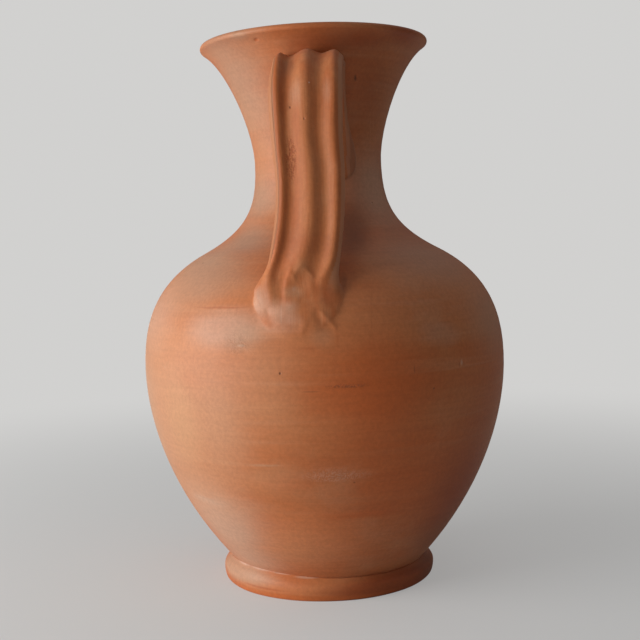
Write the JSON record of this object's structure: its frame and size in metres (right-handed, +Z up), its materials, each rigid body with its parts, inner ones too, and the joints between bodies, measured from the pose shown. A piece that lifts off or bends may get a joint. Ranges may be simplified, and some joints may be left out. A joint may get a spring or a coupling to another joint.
{
  "type": "terracotta amphora",
  "caption": "Unglazed terracotta vessel with a round belly, tall flared neck, low foot ring and two ridged strap handles from under the lip to the shoulder.",
  "frame": {"origin": "on the surface that the vessel stands on, under the middle of its foot ring", "axes": "+Z up; -Y from the axis towards the front handle, +Y towards the back handle; +X to the right seen from the front"},
  "size_m": [0.27, 0.27, 0.3986],
  "materials": {
    "thrown_terracotta": "matt, unglazed, faint throwing lines",
    "strap_terracotta": "matt, unglazed, smoothed lengthways with wet fingers",
    "luted_terracotta": "matt, unglazed, smeared with the thumb"
  },
  "bodies": {
    "root": {"foot_ring": "thrown_terracotta", "lower_body": "thrown_terracotta", "upper_body": "thrown_terracotta", "neck": "thrown_terracotta", "front_handle_strap": "strap_terracotta", "front_handle_neck_pad": "luted_terracotta", "front_handle_root_pad": "luted_terracotta", "back_handle_strap": "strap_terracotta", "back_handle_neck_pad": "luted_terracotta", "back_handle_root_pad": "luted_terracotta"}
  },
  "joints": []
}
